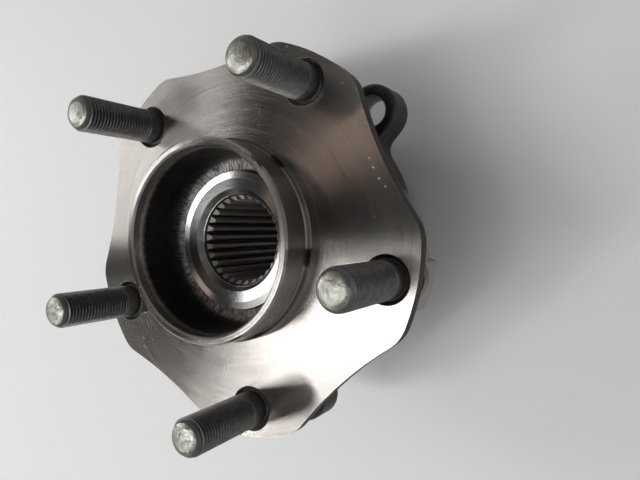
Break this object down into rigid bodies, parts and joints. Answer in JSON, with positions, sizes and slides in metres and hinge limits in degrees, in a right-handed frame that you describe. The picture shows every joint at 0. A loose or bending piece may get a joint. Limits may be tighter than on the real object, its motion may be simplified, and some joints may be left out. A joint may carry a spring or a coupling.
{
  "type": "wheel hub bearing",
  "caption": "Flanged wheel hub bearing unit: wheel studs and stepped pilot on a spinning splined hub, caged ball rows inside, and an eared outer ring that bolts to the knuckle.",
  "frame": {"origin": "centre of the face that the wheel and brake disc bolt to, on the hub axis", "axes": "+Z points out of the vehicle along the hub axis; +X passes through the middle of the outer ring's plain pad; +Y completes the right-handed set, along the long spacing of the knuckle bolts"},
  "size_m": [0.1301, 0.1325, 0.0979],
  "materials": {
    "hub_steel": "turned on the machined faces, dark forging scale elsewhere",
    "ring_steel": "ground and turned, dark forging scale on the flange",
    "bearing_steel": "ground",
    "ball_steel": "polished",
    "stud_steel": "dark phosphate",
    "seal_steel": "pressed sheet",
    "cage_plastic": "moulded, satin",
    "seal_rubber": "matt",
    "encoder_rubber": "matt"
  },
  "bodies": {
    "knuckle_side": {"outer_ring": "ring_steel", "seal_case_outboard": "seal_steel", "seal_lip_outboard": "seal_rubber", "seal_case_inboard": "seal_steel", "seal_lip_inboard": "seal_rubber"},
    "wheel_side": {"hub_spindle": "hub_steel", "wheel_stud_1": "stud_steel", "wheel_stud_2": "stud_steel", "wheel_stud_3": "stud_steel", "wheel_stud_4": "stud_steel", "wheel_stud_5": "stud_steel", "inner_ring": "bearing_steel", "seal_slinger": "seal_steel", "encoder_ring": "encoder_rubber"},
    "outboard_cage": {"cage_outboard": "cage_plastic"},
    "inboard_cage": {"cage_inboard": "cage_plastic"},
    "outboard_ball_01": {"ball_outboard_01": "ball_steel"},
    "outboard_ball_02": {"ball_outboard_02": "ball_steel"},
    "outboard_ball_03": {"ball_outboard_03": "ball_steel"},
    "outboard_ball_04": {"ball_outboard_04": "ball_steel"},
    "outboard_ball_05": {"ball_outboard_05": "ball_steel"},
    "outboard_ball_06": {"ball_outboard_06": "ball_steel"},
    "outboard_ball_07": {"ball_outboard_07": "ball_steel"},
    "outboard_ball_08": {"ball_outboard_08": "ball_steel"},
    "outboard_ball_09": {"ball_outboard_09": "ball_steel"},
    "outboard_ball_10": {"ball_outboard_10": "ball_steel"},
    "outboard_ball_11": {"ball_outboard_11": "ball_steel"},
    "outboard_ball_12": {"ball_outboard_12": "ball_steel"},
    "outboard_ball_13": {"ball_outboard_13": "ball_steel"},
    "outboard_ball_14": {"ball_outboard_14": "ball_steel"},
    "inboard_ball_01": {"ball_inboard_01": "ball_steel"},
    "inboard_ball_02": {"ball_inboard_02": "ball_steel"},
    "inboard_ball_03": {"ball_inboard_03": "ball_steel"},
    "inboard_ball_04": {"ball_inboard_04": "ball_steel"},
    "inboard_ball_05": {"ball_inboard_05": "ball_steel"},
    "inboard_ball_06": {"ball_inboard_06": "ball_steel"},
    "inboard_ball_07": {"ball_inboard_07": "ball_steel"},
    "inboard_ball_08": {"ball_inboard_08": "ball_steel"},
    "inboard_ball_09": {"ball_inboard_09": "ball_steel"},
    "inboard_ball_10": {"ball_inboard_10": "ball_steel"},
    "inboard_ball_11": {"ball_inboard_11": "ball_steel"},
    "inboard_ball_12": {"ball_inboard_12": "ball_steel"},
    "inboard_ball_13": {"ball_inboard_13": "ball_steel"},
    "inboard_ball_14": {"ball_inboard_14": "ball_steel"}
  },
  "joints": [
    {"name": "hub_spin", "type": "hinge", "parent": "knuckle_side", "child": "wheel_side", "pos_m": [0, 0, -0.0365], "axis": [0, 0, 1], "continuous": true},
    {"name": "outboard_cage_spin", "type": "hinge", "parent": "knuckle_side", "child": "outboard_cage", "pos_m": [0, 0, -0.026], "axis": [0, 0, 1], "continuous": true},
    {"name": "inboard_cage_spin", "type": "hinge", "parent": "knuckle_side", "child": "inboard_cage", "pos_m": [0, 0, -0.047], "axis": [0, 0, 1], "continuous": true},
    {"name": "outboard_ball_01_roll", "type": "hinge", "parent": "outboard_cage", "child": "outboard_ball_01", "pos_m": [0.0325, 0, -0.026], "axis": [0.6157, 0, 0.788], "continuous": true},
    {"name": "outboard_ball_02_roll", "type": "hinge", "parent": "outboard_cage", "child": "outboard_ball_02", "pos_m": [0.02928, 0.0141, -0.026], "axis": [0.5547, 0.2671, 0.788], "continuous": true},
    {"name": "outboard_ball_03_roll", "type": "hinge", "parent": "outboard_cage", "child": "outboard_ball_03", "pos_m": [0.02026, 0.02541, -0.026], "axis": [0.3839, 0.4813, 0.788], "continuous": true},
    {"name": "outboard_ball_04_roll", "type": "hinge", "parent": "outboard_cage", "child": "outboard_ball_04", "pos_m": [0.00723, 0.03169, -0.026], "axis": [0.137, 0.6002, 0.788], "continuous": true},
    {"name": "outboard_ball_05_roll", "type": "hinge", "parent": "outboard_cage", "child": "outboard_ball_05", "pos_m": [-0.00723, 0.03169, -0.026], "axis": [-0.137, 0.6002, 0.788], "continuous": true},
    {"name": "outboard_ball_06_roll", "type": "hinge", "parent": "outboard_cage", "child": "outboard_ball_06", "pos_m": [-0.02026, 0.02541, -0.026], "axis": [-0.3839, 0.4813, 0.788], "continuous": true},
    {"name": "outboard_ball_07_roll", "type": "hinge", "parent": "outboard_cage", "child": "outboard_ball_07", "pos_m": [-0.02928, 0.0141, -0.026], "axis": [-0.5547, 0.2671, 0.788], "continuous": true},
    {"name": "outboard_ball_08_roll", "type": "hinge", "parent": "outboard_cage", "child": "outboard_ball_08", "pos_m": [-0.0325, 0, -0.026], "axis": [-0.6157, 0, 0.788], "continuous": true},
    {"name": "outboard_ball_09_roll", "type": "hinge", "parent": "outboard_cage", "child": "outboard_ball_09", "pos_m": [-0.02928, -0.0141, -0.026], "axis": [-0.5547, -0.2671, 0.788], "continuous": true},
    {"name": "outboard_ball_10_roll", "type": "hinge", "parent": "outboard_cage", "child": "outboard_ball_10", "pos_m": [-0.02026, -0.02541, -0.026], "axis": [-0.3839, -0.4813, 0.788], "continuous": true},
    {"name": "outboard_ball_11_roll", "type": "hinge", "parent": "outboard_cage", "child": "outboard_ball_11", "pos_m": [-0.00723, -0.03169, -0.026], "axis": [-0.137, -0.6002, 0.788], "continuous": true},
    {"name": "outboard_ball_12_roll", "type": "hinge", "parent": "outboard_cage", "child": "outboard_ball_12", "pos_m": [0.00723, -0.03169, -0.026], "axis": [0.137, -0.6002, 0.788], "continuous": true},
    {"name": "outboard_ball_13_roll", "type": "hinge", "parent": "outboard_cage", "child": "outboard_ball_13", "pos_m": [0.02026, -0.02541, -0.026], "axis": [0.3839, -0.4813, 0.788], "continuous": true},
    {"name": "outboard_ball_14_roll", "type": "hinge", "parent": "outboard_cage", "child": "outboard_ball_14", "pos_m": [0.02928, -0.0141, -0.026], "axis": [0.5547, -0.2671, 0.788], "continuous": true},
    {"name": "inboard_ball_01_roll", "type": "hinge", "parent": "inboard_cage", "child": "inboard_ball_01", "pos_m": [0.0325, 0, -0.047], "axis": [-0.6157, 0, 0.788], "continuous": true},
    {"name": "inboard_ball_02_roll", "type": "hinge", "parent": "inboard_cage", "child": "inboard_ball_02", "pos_m": [0.02928, 0.0141, -0.047], "axis": [-0.5547, -0.2671, 0.788], "continuous": true},
    {"name": "inboard_ball_03_roll", "type": "hinge", "parent": "inboard_cage", "child": "inboard_ball_03", "pos_m": [0.02026, 0.02541, -0.047], "axis": [-0.3839, -0.4813, 0.788], "continuous": true},
    {"name": "inboard_ball_04_roll", "type": "hinge", "parent": "inboard_cage", "child": "inboard_ball_04", "pos_m": [0.00723, 0.03169, -0.047], "axis": [-0.137, -0.6002, 0.788], "continuous": true},
    {"name": "inboard_ball_05_roll", "type": "hinge", "parent": "inboard_cage", "child": "inboard_ball_05", "pos_m": [-0.00723, 0.03169, -0.047], "axis": [0.137, -0.6002, 0.788], "continuous": true},
    {"name": "inboard_ball_06_roll", "type": "hinge", "parent": "inboard_cage", "child": "inboard_ball_06", "pos_m": [-0.02026, 0.02541, -0.047], "axis": [0.3839, -0.4813, 0.788], "continuous": true},
    {"name": "inboard_ball_07_roll", "type": "hinge", "parent": "inboard_cage", "child": "inboard_ball_07", "pos_m": [-0.02928, 0.0141, -0.047], "axis": [0.5547, -0.2671, 0.788], "continuous": true},
    {"name": "inboard_ball_08_roll", "type": "hinge", "parent": "inboard_cage", "child": "inboard_ball_08", "pos_m": [-0.0325, 0, -0.047], "axis": [0.6157, 0, 0.788], "continuous": true},
    {"name": "inboard_ball_09_roll", "type": "hinge", "parent": "inboard_cage", "child": "inboard_ball_09", "pos_m": [-0.02928, -0.0141, -0.047], "axis": [0.5547, 0.2671, 0.788], "continuous": true},
    {"name": "inboard_ball_10_roll", "type": "hinge", "parent": "inboard_cage", "child": "inboard_ball_10", "pos_m": [-0.02026, -0.02541, -0.047], "axis": [0.3839, 0.4813, 0.788], "continuous": true},
    {"name": "inboard_ball_11_roll", "type": "hinge", "parent": "inboard_cage", "child": "inboard_ball_11", "pos_m": [-0.00723, -0.03169, -0.047], "axis": [0.137, 0.6002, 0.788], "continuous": true},
    {"name": "inboard_ball_12_roll", "type": "hinge", "parent": "inboard_cage", "child": "inboard_ball_12", "pos_m": [0.00723, -0.03169, -0.047], "axis": [-0.137, 0.6002, 0.788], "continuous": true},
    {"name": "inboard_ball_13_roll", "type": "hinge", "parent": "inboard_cage", "child": "inboard_ball_13", "pos_m": [0.02026, -0.02541, -0.047], "axis": [-0.3839, 0.4813, 0.788], "continuous": true},
    {"name": "inboard_ball_14_roll", "type": "hinge", "parent": "inboard_cage", "child": "inboard_ball_14", "pos_m": [0.02928, -0.0141, -0.047], "axis": [-0.5547, 0.2671, 0.788], "continuous": true}
  ],
  "couplings": [
    {"joint": "outboard_cage_spin", "follows": "hub_spin", "ratio": 0.42302},
    {"joint": "inboard_cage_spin", "follows": "hub_spin", "ratio": 0.42302},
    {"joint": "outboard_ball_01_roll", "follows": "hub_spin", "ratio": -2.4984},
    {"joint": "outboard_ball_02_roll", "follows": "hub_spin", "ratio": -2.4984},
    {"joint": "outboard_ball_03_roll", "follows": "hub_spin", "ratio": -2.4984},
    {"joint": "outboard_ball_04_roll", "follows": "hub_spin", "ratio": -2.4984},
    {"joint": "outboard_ball_05_roll", "follows": "hub_spin", "ratio": -2.4984},
    {"joint": "outboard_ball_06_roll", "follows": "hub_spin", "ratio": -2.4984},
    {"joint": "outboard_ball_07_roll", "follows": "hub_spin", "ratio": -2.4984},
    {"joint": "outboard_ball_08_roll", "follows": "hub_spin", "ratio": -2.4984},
    {"joint": "outboard_ball_09_roll", "follows": "hub_spin", "ratio": -2.4984},
    {"joint": "outboard_ball_10_roll", "follows": "hub_spin", "ratio": -2.4984},
    {"joint": "outboard_ball_11_roll", "follows": "hub_spin", "ratio": -2.4984},
    {"joint": "outboard_ball_12_roll", "follows": "hub_spin", "ratio": -2.4984},
    {"joint": "outboard_ball_13_roll", "follows": "hub_spin", "ratio": -2.4984},
    {"joint": "outboard_ball_14_roll", "follows": "hub_spin", "ratio": -2.4984},
    {"joint": "inboard_ball_01_roll", "follows": "hub_spin", "ratio": -2.4984},
    {"joint": "inboard_ball_02_roll", "follows": "hub_spin", "ratio": -2.4984},
    {"joint": "inboard_ball_03_roll", "follows": "hub_spin", "ratio": -2.4984},
    {"joint": "inboard_ball_04_roll", "follows": "hub_spin", "ratio": -2.4984},
    {"joint": "inboard_ball_05_roll", "follows": "hub_spin", "ratio": -2.4984},
    {"joint": "inboard_ball_06_roll", "follows": "hub_spin", "ratio": -2.4984},
    {"joint": "inboard_ball_07_roll", "follows": "hub_spin", "ratio": -2.4984},
    {"joint": "inboard_ball_08_roll", "follows": "hub_spin", "ratio": -2.4984},
    {"joint": "inboard_ball_09_roll", "follows": "hub_spin", "ratio": -2.4984},
    {"joint": "inboard_ball_10_roll", "follows": "hub_spin", "ratio": -2.4984},
    {"joint": "inboard_ball_11_roll", "follows": "hub_spin", "ratio": -2.4984},
    {"joint": "inboard_ball_12_roll", "follows": "hub_spin", "ratio": -2.4984},
    {"joint": "inboard_ball_13_roll", "follows": "hub_spin", "ratio": -2.4984},
    {"joint": "inboard_ball_14_roll", "follows": "hub_spin", "ratio": -2.4984}
  ]
}
